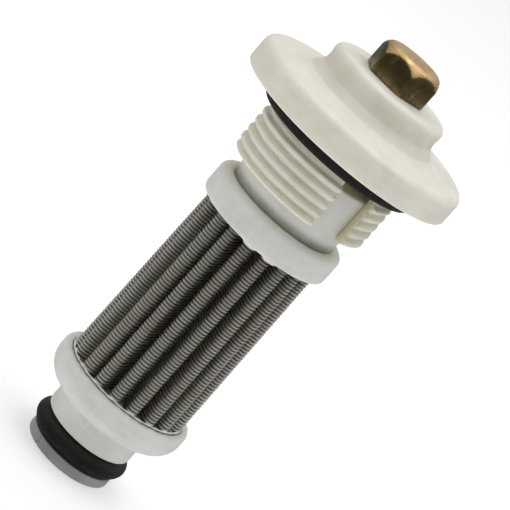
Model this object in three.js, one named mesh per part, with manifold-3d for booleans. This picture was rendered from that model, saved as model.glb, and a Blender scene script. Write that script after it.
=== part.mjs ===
// Screw-in strainer cartridge for a fuel-oil filter head: a slotted, threaded cap with a vent
// screw, and below it a pleated wire-cloth element that swivels on the cap and ends in an
// O-ring spigot. Millimetres, +Z up along the axis, origin at the centre of the spigot's end face.
import * as THREE from "three";
import { mergeVertices } from "three/addons/utils/BufferGeometryUtils.js";
import Module from "manifold-3d";

const wasm = await Module();
wasm.setup();

// ---------- driving dimensions ----------
const ROUND = 32; // facets round a large turned piece
const FINE_ROUND = 20; // facets round a small turned piece
const CORD_FACETS = 8; // facets round an O-ring's section
const GAP = 0.3; // clearance between touching pieces

const THREAD = { majorR: 14.9, minorR: 13.65, pitch: 2, bottomZ: 67.9, topZ: 77.3, rowsPerPitch: 4 };
const SKIRT = { innerR: 12.3, bottomZ: 67.4, reliefR: 14.1, ceilingZ: 80 };
const SLOT = { width: 8.6, topZ: 80 }; // two slots through the thread, on -Y and +Y
const FLANGE = { r: 23.16, bottomZ: 81.3, topZ: 87, dishR: 18.5, seatR: 18.2, seatZ: 81.5 };
const HUB = { r: 12.8, waistR: 12.45, topZ: 94.3, spotR: 8, spotZ: 94.1 }; // spot face under the screw head
// The flange's top sweeps up into the hub through these [radius, height above the flange] points.
const HUB_SWEEP = [
  [16.8, 0.45],
  [13.9, 1.25],
  [12.6, 3],
  [HUB.waistR, 4.5],
];
const STEM = { r: 5.4, boreR: 2, bottomZ: 66.7, clipGrooveR: 4.7, sealGrooveR: 4.3 };
const CROSS_HOLE = { r: 1.25, z: 77.6 }; // from the stem's bore to the space behind the slots
const RETAINING_RING = { innerR: 4.85, outerR: 6.8, bottomZ: 67.7, topZ: 68.4, gapDegrees: 50 };
const THRUST_WASHER = { innerR: 5.7, outerR: 8.6, bottomZ: 68.6, topZ: 69.2 };
const STEM_SEAL = { ringR: 5.05, cordR: 0.6, z: 72.2 };
const INSERT = { r: 5.5, boreR: 4.3, bottomZ: 85, topZ: 92.4 };
const SEAL_POCKET = { r: 5.85, bottomZ: 92.45 };
const SCREW = { acrossFlats: 12, headTopZ: 100.6, shankR: 4, tipZ: 86.2, turnFromY: -26.5 };
const VENT_SEAL = { ringR: 4.95, cordR: 0.75, z: 93.3 };
const FLANGE_SEAL = { ringR: 15.85, cordR: 1.5, z: FLANGE.bottomZ - 1.55 };

const COLLAR = { r: 14.17, recessR: 13, bottomZ: 57.8, topZ: 63.65, shoulderZ: 62.1 };
const NECK = { r: 11.8, baseR: 11.4, taperTopZ: 66, topZ: 75.8, innerR: 10.2, ceilingZ: 73.8 };
const BOSS = { r: 8.8, bottomZ: 69.4, boreR: 5.8 }; // hangs inside the neck, round the stem
const CLOSING_DISC = { r: 12.8, plugR: 9.9, bottomZ: 60.7, shoulderZ: 61.9, topZ: 63.2 };

const CUP = { r: 14.8, innerR: 13.25, bottomZ: 12, floorZ: 14, rimZ: 18.5, cornerR: 2.5 };
const SPIGOT = { r: 9.49, noseR: 6.5, noseZ: 2.45, shoulderZ: 6.7, boreR: 5.5 };
const BUSH = { flangeR: 9.33, flangeTopZ: 2.3, tubeR: 5.2, boreR: 4.4, topZ: 12 };
const SPIGOT_SEAL = { ringR: 8.52, cordR: 2, z: 4.5 };

const PACK = { bottomZ: 16, topZ: 59.6, bottomR: 13.18, topR: 12.55, pleats: 19, firstPleat: -42.3 };
const PLEAT = { crestR: 1.22, valleyR: 0.25, valleyCentreR: 7.85, crestSteps: 3, valleySteps: 2 };
// Depth of each wire-cloth layer below the pack's outer surface.
const OUTER_MESH = { from: 0, to: 0.38 };
const FILTER_CLOTH = { from: 0.4, to: 0.52 };
const INNER_MESH = { from: 0.54, to: 0.84 };
const SEAM_STRIP = { fold: 9, innerR: 6.2, thickness: 0.25, width: 1.8 };
const CORE = { r: 6.1, innerR: 5.6, holeR: 1.5, columns: 6, rows: 7, holePitchZ: 6 };
const POTTING = { innerR: 6.8, gap: 0.1 };

// ---------- materials ----------
const material = (color, roughness, metalness = 0) =>
  new THREE.MeshStandardMaterial({ color, roughness, metalness });
const whiteNylon = material(0xdedccf, 0.5);
const greyNylon = material(0x8c8c8c, 0.55);
const blackRubber = material(0x262523, 0.6);
const brass = material(0x9a7f4c, 0.35, 1);
const stainlessMesh = material(0x8a8680, 0.4, 1);
const stainlessSheet = material(0xa5a5a2, 0.35, 1);
const springSteel = material(0x7c7d80, 0.3, 1);
const epoxy = material(0x6f6e68, 0.35);

// ---------- shape helpers ----------
const radians = THREE.MathUtils.degToRad;

// A profile of [radius, z] points runs anticlockwise, so that the turned surface faces outwards.
function anticlockwise(points) {
  return THREE.ShapeUtils.area(points.map(([r, z]) => ({ x: r, y: z }))) > 0 ? points : [...points].reverse();
}

// A solid turned about Z from a closed profile. Points on the axis close a piece with no bore.
function turned(points, facets = ROUND) {
  const loop = anticlockwise(points);
  const onAxis = loop.filter(([r]) => r === 0).length > 0;
  let profile = [...loop, loop[0]];
  if (onAxis) {
    const start = loop.findIndex(([r], i) => r === 0 && loop[(i + 1) % loop.length][0] > 0);
    profile = [...loop.slice(start), ...loop.slice(0, start)];
  }
  const geometry = new THREE.LatheGeometry(profile.map(([r, z]) => new THREE.Vector2(r, z)), facets);
  return geometry.rotateX(Math.PI / 2);
}

// A plain ring of square section.
function tube({ innerR, outerR, bottomZ, topZ }, facets = ROUND) {
  return turned(
    [
      [innerR, bottomZ],
      [outerR, bottomZ],
      [outerR, topZ],
      [innerR, topZ],
    ],
    facets,
  );
}

// An O-ring: a round cord bent into a ring.
function ring({ ringR, cordR, z }, facets = ROUND) {
  const circle = Array.from({ length: CORD_FACETS }, (_, i) => {
    const angle = (2 * Math.PI * i) / CORD_FACETS;
    return [ringR + cordR * Math.cos(angle), z + cordR * Math.sin(angle)];
  });
  return turned(circle, facets);
}

// Points of an arc about (r, z), for a rounded edge in a turned profile.
function arc(r, z, radius, fromDegrees, toDegrees, steps = 3) {
  return Array.from({ length: steps + 1 }, (_, i) => {
    const angle = radians(fromDegrees + ((toDegrees - fromDegrees) * i) / steps);
    return [r + radius * Math.cos(angle), z + radius * Math.sin(angle)];
  });
}

function toManifold(geometry) {
  const bare = geometry.clone();
  bare.deleteAttribute("normal");
  bare.deleteAttribute("uv");
  const merged = mergeVertices(bare, 1e-4);
  return new wasm.Manifold(
    new wasm.Mesh({
      numProp: 3,
      vertProperties: new Float32Array(merged.attributes.position.array),
      triVerts: new Uint32Array(merged.index.array),
    }),
  );
}

function toGeometry(solid) {
  const mesh = solid.getMesh();
  const geometry = new THREE.BufferGeometry();
  geometry.setAttribute("position", new THREE.BufferAttribute(mesh.vertProperties, 3));
  geometry.setIndex(new THREE.BufferAttribute(mesh.triVerts, 1));
  geometry.computeVertexNormals();
  return geometry;
}

const group = new THREE.Group();
function add(name, geometry, finish) {
  const mesh = new THREE.Mesh(geometry, finish);
  mesh.name = name;
  group.add(mesh);
  return mesh;
}

// ---------- cap ----------
// Height of the V ridge at a turn angle and z: a right-hand helix with a rounded-off crest.
function ridgeHeight(angle, z) {
  const turns = (z - THREAD.bottomZ) / THREAD.pitch - angle / (2 * Math.PI);
  const fromCrest = Math.abs(turns - Math.floor(turns) - 0.5) * 2;
  const flank = THREE.MathUtils.clamp(1.15 - 1.3 * fromCrest, 0, 1);
  const runOut = Math.min(1, (z - THREAD.bottomZ) / 0.8 + 0.25, (THREAD.topZ - z) / 0.8);
  return (THREAD.majorR - THREAD.minorR) * flank * Math.max(0, runOut);
}

function stemGroove(r, bottomZ, topZ) {
  return [
    [STEM.r, bottomZ],
    [r, bottomZ],
    [r, topZ],
    [STEM.r, topZ],
  ];
}

function capBlank() {
  const rows = Math.round(((THREAD.topZ - THREAD.bottomZ) / THREAD.pitch) * THREAD.rowsPerPitch);
  const threadRows = Array.from({ length: rows + 1 }, (_, i) => [
    THREAD.minorR,
    THREAD.bottomZ + ((THREAD.topZ - THREAD.bottomZ) * i) / rows,
    true,
  ]);
  const profile = [
    [SKIRT.innerR, SKIRT.bottomZ],
    [THREAD.minorR - 0.3, SKIRT.bottomZ],
    ...threadRows,
    [SKIRT.reliefR, THREAD.topZ + 0.4],
    [SKIRT.reliefR, FLANGE.seatZ],
    [FLANGE.seatR, FLANGE.seatZ],
    [FLANGE.seatR, FLANGE.bottomZ],
    [FLANGE.r - 0.4, FLANGE.bottomZ],
    [FLANGE.r, FLANGE.bottomZ + 0.4],
    ...arc(FLANGE.r - 1.6, FLANGE.topZ - 1.6, 1.6, 10, 90, 3),
    [FLANGE.dishR, FLANGE.topZ],
    ...HUB_SWEEP.map(([r, rise]) => [r, FLANGE.topZ + rise]),
    ...arc(HUB.r - 1.2, HUB.topZ - 1.2, 1.2, 0, 90, 3),
    [HUB.spotR, HUB.topZ],
    [HUB.spotR, HUB.spotZ],
    [SEAL_POCKET.r, HUB.spotZ],
    [SEAL_POCKET.r, SEAL_POCKET.bottomZ],
    [INSERT.r + GAP, SEAL_POCKET.bottomZ],
    [INSERT.r + GAP, INSERT.bottomZ - GAP],
    [STEM.boreR, INSERT.bottomZ - GAP],
    [STEM.boreR, STEM.bottomZ],
    [STEM.r - 0.9, STEM.bottomZ],
    [STEM.r, STEM.bottomZ + 0.9],
    ...stemGroove(STEM.clipGrooveR, RETAINING_RING.bottomZ - 0.1, RETAINING_RING.topZ + 0.1),
    ...stemGroove(STEM.sealGrooveR, STEM_SEAL.z - STEM_SEAL.cordR - 0.1, STEM_SEAL.z + STEM_SEAL.cordR + 0.1),
    [STEM.r, SKIRT.ceilingZ],
    [SKIRT.innerR, SKIRT.ceilingZ],
  ];
  const positions = [];
  for (let column = 0; column < ROUND; column++) {
    const angle = (2 * Math.PI * column) / ROUND;
    for (const [r, z, threaded] of profile) {
      const radius = threaded ? r + ridgeHeight(angle, z) : r;
      positions.push(radius * Math.cos(angle), radius * Math.sin(angle), z);
    }
  }
  const indices = [];
  for (let column = 0; column < ROUND; column++)
    for (let row = 0; row < profile.length; row++) {
      const nextRow = (row + 1) % profile.length;
      const here = column * profile.length;
      const next = ((column + 1) % ROUND) * profile.length;
      indices.push(here + row, next + row, next + nextRow);
      indices.push(here + row, next + nextRow, here + nextRow);
    }
  const geometry = new THREE.BufferGeometry();
  geometry.setAttribute("position", new THREE.Float32BufferAttribute(positions, 3));
  geometry.setIndex(indices);
  return geometry;
}

// Two slots through the threaded skirt, and a cross hole that leads air into the stem's vent bore.
function capCutters() {
  const slotHeight = SLOT.topZ - SKIRT.bottomZ + 2;
  const slotDepth = THREAD.majorR + 2 - (SKIRT.innerR - 1.5);
  const slots = [-1, 1].map((side) =>
    new THREE.BoxGeometry(SLOT.width, slotDepth, slotHeight).translate(
      0,
      side * (SKIRT.innerR - 1.5 + slotDepth / 2),
      SLOT.topZ - slotHeight / 2,
    ),
  );
  const crossHole = new THREE.CylinderGeometry(CROSS_HOLE.r, CROSS_HOLE.r, 3 * STEM.r, 8)
    .rotateZ(Math.PI / 2)
    .translate(0, 0, CROSS_HOLE.z);
  return [...slots, crossHole];
}

let cap = toManifold(capBlank());
for (const cutter of capCutters()) cap = cap.subtract(toManifold(cutter));
add("screw_cap", toGeometry(cap), whiteNylon);
add("flange_seal_ring", ring(FLANGE_SEAL), blackRubber);
add("stem_seal_ring", ring(STEM_SEAL, FINE_ROUND), blackRubber);

// The open ring of flat wire, in the stem's groove, that holds the element on and lets it swivel.
function retainingRing() {
  const halfGap = radians(RETAINING_RING.gapDegrees / 2);
  const outline = new THREE.Shape();
  outline.absarc(0, 0, RETAINING_RING.outerR, halfGap, 2 * Math.PI - halfGap, false);
  outline.absarc(0, 0, RETAINING_RING.innerR, 2 * Math.PI - halfGap, halfGap, true);
  const depth = RETAINING_RING.topZ - RETAINING_RING.bottomZ;
  return new THREE.ExtrudeGeometry(outline, { depth, bevelEnabled: false, curveSegments: 14 }).translate(
    0,
    0,
    RETAINING_RING.bottomZ,
  );
}
add("stem_retaining_ring", retainingRing(), springSteel);
add("thrust_washer", tube(THRUST_WASHER, FINE_ROUND), whiteNylon);

// ---------- vent screw ----------
function ventScrew() {
  const headR = SCREW.acrossFlats / Math.sqrt(3);
  const headBottomZ = HUB.spotZ + 0.05;
  const chamferR = headR + 0.3;
  const hexagon = new THREE.CylinderGeometry(headR, headR, SCREW.headTopZ - headBottomZ, 6)
    .rotateX(Math.PI / 2)
    .rotateZ(radians(SCREW.turnFromY))
    .translate(0, 0, (SCREW.headTopZ + headBottomZ) / 2);
  // The dome that a lathe leaves on the top of a hexagon.
  const dome = turned(
    [
      [0, headBottomZ - 1],
      [chamferR, headBottomZ - 1],
      [chamferR, SCREW.headTopZ - 2.6],
      [7.1, SCREW.headTopZ - 1.75],
      [6.4, SCREW.headTopZ - 0.85],
      [5.5, SCREW.headTopZ - 0.2],
      [5, SCREW.headTopZ],
      [0, SCREW.headTopZ],
    ],
    24,
  );
  const shank = turned(
    [
      [0, SCREW.tipZ],
      [SCREW.shankR - 1.2, SCREW.tipZ],
      [SCREW.shankR, SCREW.tipZ + 1.2],
      [SCREW.shankR, headBottomZ + 1],
      [0, headBottomZ + 1],
    ],
    24,
  );
  return toGeometry(toManifold(hexagon).intersect(toManifold(dome)).add(toManifold(shank)));
}
add("vent_screw", ventScrew(), brass);
add("vent_seal_ring", ring(VENT_SEAL, FINE_ROUND), blackRubber);

// The brass bush moulded into the hub; ribs stop it turning.
function threadInsert() {
  const outline = new THREE.Shape();
  const ribs = 10;
  for (let i = 0; i < 2 * ribs; i++) {
    const radius = i % 2 ? INSERT.r : INSERT.r - 0.4;
    const angle = (Math.PI * i) / ribs;
    outline[i ? "lineTo" : "moveTo"](radius * Math.cos(angle), radius * Math.sin(angle));
  }
  outline.closePath();
  outline.holes.push(new THREE.Path().absarc(0, 0, INSERT.boreR, 0, 2 * Math.PI, true));
  const depth = INSERT.topZ - INSERT.bottomZ;
  return new THREE.ExtrudeGeometry(outline, { depth, bevelEnabled: false, curveSegments: 10 }).translate(
    0,
    0,
    INSERT.bottomZ,
  );
}
add("vent_thread_insert", threadInsert(), brass);

// ---------- upper end cap ----------
add(
  "upper_end_cap",
  turned([
    [NECK.innerR, COLLAR.shoulderZ],
    [COLLAR.recessR, COLLAR.shoulderZ],
    [COLLAR.recessR, COLLAR.bottomZ],
    [COLLAR.r - 0.4, COLLAR.bottomZ],
    [COLLAR.r, COLLAR.bottomZ + 0.4],
    ...arc(COLLAR.r - 1.4, COLLAR.topZ - 1.4, 1.4, 0, 80, 3),
    [NECK.baseR, COLLAR.topZ - 0.2],
    [NECK.r, NECK.taperTopZ],
    [NECK.r, NECK.topZ - 0.5],
    [NECK.r - 0.5, NECK.topZ],
    [BOSS.boreR, NECK.topZ],
    [BOSS.boreR, BOSS.bottomZ],
    [BOSS.r, BOSS.bottomZ],
    [BOSS.r, NECK.ceilingZ],
    [NECK.innerR, NECK.ceilingZ],
  ]),
  whiteNylon,
);

// The disc that closes the pack's top end, plugged into the neck from below.
add(
  "closing_disc",
  turned([
    [0, CLOSING_DISC.bottomZ],
    [CLOSING_DISC.r, CLOSING_DISC.bottomZ],
    [CLOSING_DISC.r, CLOSING_DISC.shoulderZ],
    [CLOSING_DISC.plugR, CLOSING_DISC.shoulderZ],
    [CLOSING_DISC.plugR, CLOSING_DISC.topZ],
    [0, CLOSING_DISC.topZ],
  ]),
  whiteNylon,
);

// ---------- pleated pack ----------
// One closed outline of the folded cloth, at a depth below the pack's outer surface. Each pleat is
// a crest arc and a valley arc that share a tangent flank.
function pleatOutline(depth) {
  const outerR = (PACK.bottomR + PACK.topR) / 2;
  const crestCentre = outerR - PLEAT.crestR;
  const half = Math.PI / PACK.pleats;
  const toValley = new THREE.Vector2(
    PLEAT.valleyCentreR * Math.cos(half) - crestCentre,
    PLEAT.valleyCentreR * Math.sin(half),
  );
  const flankNormal = toValley.angle() - Math.acos((PLEAT.crestR + PLEAT.valleyR) / toValley.length());
  const valleySweep = flankNormal - half;
  const points = [];
  for (let i = 0; i < PACK.pleats; i++) {
    const axis = radians(PACK.firstPleat - 90) + 2 * half * i;
    for (let s = 0; s <= PLEAT.crestSteps; s++) {
      const angle = axis + flankNormal * ((2 * s) / PLEAT.crestSteps - 1);
      const radius = PLEAT.crestR - depth;
      points.push([
        crestCentre * Math.cos(axis) + radius * Math.cos(angle),
        crestCentre * Math.sin(axis) + radius * Math.sin(angle),
      ]);
    }
    for (let s = 0; s <= PLEAT.valleySteps; s++) {
      const angle = axis + half + Math.PI + valleySweep * (1 - (2 * s) / PLEAT.valleySteps);
      const radius = PLEAT.valleyR + depth;
      points.push([
        PLEAT.valleyCentreR * Math.cos(axis + half) + radius * Math.cos(angle),
        PLEAT.valleyCentreR * Math.sin(axis + half) + radius * Math.sin(angle),
      ]);
    }
  }
  return points.map(([x, y]) => new THREE.Vector2(x, y));
}

// A layer of the pack between two depths, narrowing slightly towards its top.
function pleatLayer({ from, to }) {
  const outline = new THREE.Shape(pleatOutline(from));
  outline.holes.push(new THREE.Path(pleatOutline(to)));
  const depth = PACK.topZ - PACK.bottomZ;
  const geometry = new THREE.ExtrudeGeometry(outline, { depth, bevelEnabled: false });
  const meanR = (PACK.bottomR + PACK.topR) / 2;
  const position = geometry.attributes.position;
  for (let i = 0; i < position.count; i++) {
    const share = position.getZ(i) / depth;
    const scale = THREE.MathUtils.lerp(PACK.bottomR, PACK.topR, share) / meanR;
    position.setXYZ(i, position.getX(i) * scale, position.getY(i) * scale, PACK.bottomZ + position.getZ(i));
  }
  return geometry;
}
add("outer_mesh", pleatLayer(OUTER_MESH), stainlessMesh);
add("filter_cloth", pleatLayer(FILTER_CLOTH), stainlessMesh);
add("inner_mesh", pleatLayer(INNER_MESH), stainlessMesh);

// The thin strip welded behind one inner fold, where the two ends of the cloth meet.
function seamStrip() {
  const height = PACK.topZ - PACK.bottomZ;
  const foldAngle = radians(PACK.firstPleat - 90) + (Math.PI / PACK.pleats) * (2 * SEAM_STRIP.fold + 1);
  return new THREE.BoxGeometry(SEAM_STRIP.thickness, SEAM_STRIP.width, height)
    .translate(SEAM_STRIP.innerR + SEAM_STRIP.thickness / 2, 0, PACK.bottomZ + height / 2)
    .rotateZ(foldAngle);
}
add("seam_strip", seamStrip(), stainlessSheet);

// The perforated tube that stops the pleats collapsing inwards.
function supportCore() {
  const wall = { innerR: CORE.innerR, outerR: CORE.r, bottomZ: PACK.bottomZ, topZ: PACK.topZ };
  let core = toManifold(tube(wall, 24));
  const middleZ = (PACK.bottomZ + PACK.topZ) / 2;
  for (let row = 0; row < CORE.rows; row++)
    for (let column = 0; column < CORE.columns; column++) {
      const angle = ((column + (row % 2) / 2) * 2 * Math.PI) / CORE.columns;
      const hole = new THREE.CylinderGeometry(CORE.holeR, CORE.holeR, 2, 6)
        .translate(0, CORE.r - 0.3, 0)
        .rotateZ(angle)
        .translate(0, 0, middleZ + (row - (CORE.rows - 1) / 2) * CORE.holePitchZ);
      core = core.subtract(toManifold(hole));
    }
  return toGeometry(core);
}
add("support_core", supportCore(), stainlessSheet);

// Rings of cast resin that bed the ends of the pack in the two end caps.
function potting(bottomZ, topZ, outerR) {
  return tube({
    innerR: POTTING.innerR,
    outerR: outerR - POTTING.gap,
    bottomZ: bottomZ + POTTING.gap,
    topZ: topZ - POTTING.gap,
  });
}
add("upper_potting", potting(PACK.topZ, CLOSING_DISC.bottomZ, COLLAR.recessR), epoxy);
add("lower_potting", potting(CUP.floorZ, PACK.bottomZ, CUP.innerR), epoxy);

// ---------- lower end cap ----------
add(
  "lower_end_cap",
  turned([
    [SPIGOT.boreR, SPIGOT.noseZ],
    [SPIGOT.noseR, SPIGOT.noseZ],
    [SPIGOT.noseR, SPIGOT.shoulderZ],
    [SPIGOT.r - 0.4, SPIGOT.shoulderZ],
    [SPIGOT.r, SPIGOT.shoulderZ + 0.4],
    [SPIGOT.r, CUP.bottomZ - 0.8],
    [SPIGOT.r + 0.8, CUP.bottomZ],
    ...arc(CUP.r - CUP.cornerR, CUP.bottomZ + CUP.cornerR, CUP.cornerR, -90, 0, 4),
    [CUP.r, CUP.rimZ - 0.6],
    [CUP.r - 0.6, CUP.rimZ],
    [CUP.innerR + 0.3, CUP.rimZ],
    [CUP.innerR, CUP.rimZ - 0.3],
    [CUP.innerR, CUP.floorZ],
    [SPIGOT.boreR, CUP.floorZ],
  ]),
  whiteNylon,
);
add("spigot_seal_ring", ring(SPIGOT_SEAL), blackRubber);

// The flanged bush pressed into the spigot: its flange keeps the O-ring on and is the end face.
add(
  "outlet_bush",
  turned([
    [BUSH.boreR + 0.5, 0],
    [BUSH.flangeR - 0.6, 0],
    [BUSH.flangeR, 0.6],
    [BUSH.flangeR, BUSH.flangeTopZ],
    [BUSH.tubeR, BUSH.flangeTopZ],
    [BUSH.tubeR, BUSH.topZ],
    [BUSH.boreR, BUSH.topZ],
    [BUSH.boreR, 0.5],
  ]),
  greyNylon,
);

export default group;
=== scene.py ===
import math
import random

import bpy
from mathutils import Matrix, Vector


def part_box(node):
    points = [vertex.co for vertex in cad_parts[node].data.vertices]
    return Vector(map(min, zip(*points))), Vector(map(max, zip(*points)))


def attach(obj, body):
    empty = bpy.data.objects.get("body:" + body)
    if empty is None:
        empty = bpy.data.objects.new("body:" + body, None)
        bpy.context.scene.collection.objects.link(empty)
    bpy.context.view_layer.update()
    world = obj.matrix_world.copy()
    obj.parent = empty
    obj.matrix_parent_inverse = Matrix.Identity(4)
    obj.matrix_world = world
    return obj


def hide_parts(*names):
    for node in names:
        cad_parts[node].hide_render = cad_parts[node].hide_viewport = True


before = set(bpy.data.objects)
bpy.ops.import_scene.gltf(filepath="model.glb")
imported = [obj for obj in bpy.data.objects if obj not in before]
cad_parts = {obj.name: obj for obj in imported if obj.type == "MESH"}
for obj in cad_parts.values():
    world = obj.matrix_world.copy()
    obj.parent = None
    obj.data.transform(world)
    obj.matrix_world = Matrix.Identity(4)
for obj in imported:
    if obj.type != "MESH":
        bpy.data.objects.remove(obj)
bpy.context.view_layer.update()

mm = 0.001
boxes = {}  # each CAD node's box, kept once it has been asked for


def boxMm(node):
    if node not in boxes:
        low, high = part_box(node)
        boxes[node] = (low / mm, high / mm)
    return boxes[node]


def buildObject(name, points, faces, sharpDegrees=38):
    # points are in millimetres, in the part's own frame
    mesh = bpy.data.meshes.new(name)
    mesh.from_pydata([(x * mm, y * mm, z * mm) for x, y, z in points], [], faces)
    mesh.update()
    mesh.polygons.foreach_set("use_smooth", [True] * len(mesh.polygons))
    mesh.set_sharp_from_angle(angle=math.radians(sharpDegrees))
    piece = bpy.data.objects.new(name, mesh)
    bpy.context.scene.collection.objects.link(piece)
    return piece


def angleApart(a, b):
    return abs((a - b + math.pi) % (2 * math.pi) - math.pi)


def roundedOutline(corners, stepDegrees=12):
    # each corner is (r, z) or (r, z, fillet radius); every filleted corner becomes an arc
    outline = []
    count = len(corners)
    for i, corner in enumerate(corners):
        here = Vector(corner[:2])
        fillet = corner[2] if len(corner) > 2 else 0
        toLast = Vector(corners[i - 1][:2]) - here
        toNext = Vector(corners[(i + 1) % count][:2]) - here
        if not fillet or toLast.length < 1e-6 or toNext.length < 1e-6:
            outline.append(tuple(here))
            continue
        toLast.normalize()
        toNext.normalize()
        half = toLast.angle(toNext) / 2
        if half > math.radians(89):
            outline.append(tuple(here))
            continue
        bisector = (toLast + toNext).normalized()
        centre = here + bisector * (fillet / math.sin(half))
        start = here + toLast * (fillet / math.tan(half)) - centre
        end = here + toNext * (fillet / math.tan(half)) - centre
        turn = math.pi - 2 * half
        side = 1 if start.x * end.y - start.y * end.x > 0 else -1
        steps = max(2, round(math.degrees(turn) / stepDegrees))
        for s in range(steps + 1):
            angle = side * turn * s / steps
            c, sn = math.cos(angle), math.sin(angle)
            outline.append((centre.x + start.x * c - start.y * sn, centre.y + start.x * sn + start.y * c))
    return outline


def counterClockwise(outline):
    area = sum(a[0] * b[1] - b[0] * a[1] for a, b in zip(outline, outline[1:] + outline[:1]))
    return outline if area > 0 else outline[::-1]


def turnedPiece(name, corners, columns=160, wobble=None):
    # wobble(angle, r, z) may return a new (r, z) for a point of the turned surface
    outline = counterClockwise(roundedOutline(corners))
    rows = len(outline)
    points = []
    for c in range(columns):
        angle = 2 * math.pi * c / columns
        for r, z in outline:
            if wobble:
                r, z = wobble(angle, r, z)
            points.append((r * math.cos(angle), r * math.sin(angle), z))
    faces = []
    for c in range(columns):
        here, there = c * rows, ((c + 1) % columns) * rows
        for i in range(rows):
            j = (i + 1) % rows
            faces.append((here + i, there + i, there + j, here + j))
    return buildObject(name, points, faces)


def finishPiece(piece, material, body, slot, *nodes):
    piece.data.materials.clear()
    piece.data.materials.append(material)
    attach(piece, body)
    if nodes:
        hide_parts(*nodes)
    return piece


def connect(tree, socket, value):
    # a socket takes another node's output or a plain value
    if isinstance(value, bpy.types.NodeSocket):
        tree.links.new(value, socket)
    else:
        socket.default_value = value


class Nodes:
    # a short way to write a node tree: add a node, give its values, link its inputs

    def __init__(self, tree):
        self.tree = tree

    def add(self, kind, values=None, **settings):
        node = self.tree.nodes.new(kind)
        for key, value in settings.items():
            setattr(node, key, value)
        for key, value in (values or {}).items():
            connect(self.tree, node.inputs[key], value)
        return node

    def math(self, operation, a, b=0.5, clamp=False):
        return self.add("ShaderNodeMath", {0: a, 1: b}, operation=operation, use_clamp=clamp).outputs[0]

    def product(self, first, *others):
        for other in others:
            first = self.math("MULTIPLY", first, other)
        return first

    def ramp(self, value, low, high, fromMin=0.0, fromMax=1.0):
        return self.add(
            "ShaderNodeMapRange",
            {"Value": value, "From Min": fromMin, "From Max": fromMax, "To Min": low, "To Max": high},
            interpolation_type="SMOOTHSTEP",
        ).outputs["Result"]

    def mixColor(self, factor, a, b):
        return self.add("ShaderNodeMix", {0: factor, 6: a, 7: b}, data_type="RGBA").outputs[2]

    def noise(self, vector, scale, detail=3.0, roughness=0.55, distortion=0.0):
        look = {"Vector": vector, "Scale": scale, "Detail": detail, "Roughness": roughness,
                "Distortion": distortion}
        return self.add("ShaderNodeTexNoise", look).outputs["Fac"]

    def objectPlace(self):
        return self.add("ShaderNodeTexCoord").outputs["Object"]

    def stretch(self, vector, scale):
        return self.add("ShaderNodeMapping", {"Vector": vector, "Scale": scale}).outputs[0]

    def radius(self, vector):
        # distance from the part's axis
        flat = self.add("ShaderNodeVectorMath", {0: vector, 1: (1.0, 1.0, 0.0)}, operation="MULTIPLY")
        length = self.add("ShaderNodeVectorMath", {0: flat.outputs[0]}, operation="LENGTH")
        return length.outputs["Value"]

    def upward(self, vector):
        return self.add("ShaderNodeSeparateXYZ", {0: vector}).outputs["Z"]

    def group(self, tree, values):
        return self.add("ShaderNodeGroup", values, node_tree=tree)


def rgb(red, green, blue):
    # a colour as a paint program gives it, turned into the linear values that Blender works in
    def linear(v):
        v /= 255
        return v / 12.92 if v <= 0.04045 else ((v + 0.055) / 1.055) ** 2.4
    return (linear(red), linear(green), linear(blue), 1.0)


def newGroup(name, inputs, outputs):
    tree = bpy.data.node_groups.new(name, "ShaderNodeTree")
    kinds = {"value": "NodeSocketFloat", "color": "NodeSocketColor"}
    for label, kind, default in inputs:
        socket = tree.interface.new_socket(name=label, in_out="INPUT", socket_type=kinds[kind])
        if default is not None:
            socket.default_value = default
    for label, kind in outputs:
        tree.interface.new_socket(name=label, in_out="OUTPUT", socket_type=kinds[kind])
    nodes = Nodes(tree)
    source = tree.nodes.new("NodeGroupInput").outputs
    sink = tree.nodes.new("NodeGroupOutput").inputs
    return tree, nodes, source, sink


def mouldGroup():
    # soft cloudy tone, fine grain and faint flow marks of a moulded plastic
    tree, nodes, source, sink = newGroup(
        "mouldedPlastic",
        [("Light Color", "color", rgb(230, 228, 220)), ("Deep Color", "color", rgb(205, 200, 180)),
         ("Cloud Scale", "value", 90.0), ("Grain Scale", "value", 4000.0),
         ("Base Roughness", "value", 0.4), ("Roughness Spread", "value", 0.12)],
        [("Color", "color"), ("Roughness", "value"), ("Height", "value")],
    )
    place = nodes.objectPlace()
    cloud = nodes.noise(place, source["Cloud Scale"], 4.0, 0.6)
    grain = nodes.noise(place, source["Grain Scale"], 2.0, 0.5)
    flow = nodes.noise(nodes.stretch(place, (1.0, 1.0, 6.0)), 160.0, 3.0, 0.6, 0.6)
    mixed = nodes.math("ADD", nodes.product(cloud, 0.7), nodes.product(flow, 0.3))
    shade = nodes.ramp(mixed, 0.0, 1.0, 0.38, 0.62)
    tree.links.new(nodes.mixColor(shade, source["Deep Color"], source["Light Color"]), sink["Color"])
    spread = nodes.product(nodes.math("SUBTRACT", flow, 0.5), source["Roughness Spread"])
    tree.links.new(nodes.math("ADD", source["Base Roughness"], spread), sink["Roughness"])
    height = nodes.math("ADD", nodes.product(grain, 0.35), nodes.product(flow, 0.65))
    tree.links.new(height, sink["Height"])
    return tree


def wearGroup():
    # a mask of rubbed convex edges, broken up so that no edge wears evenly
    tree, nodes, source, sink = newGroup(
        "edgeWear",
        [("Start", "value", 0.52), ("End", "value", 0.6), ("Break Up", "value", 700.0)],
        [("Mask", "value")],
    )
    pointiness = nodes.add("ShaderNodeNewGeometry").outputs["Pointiness"]
    broken = nodes.noise(nodes.objectPlace(), source["Break Up"], 3.0, 0.6)
    edge = nodes.ramp(pointiness, 0.0, 1.0, source["Start"], source["End"])
    patchy = nodes.ramp(broken, 0.0, 1.0, 0.35, 0.6)
    tree.links.new(nodes.math("MULTIPLY", edge, patchy, True), sink["Mask"])
    return tree


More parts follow.
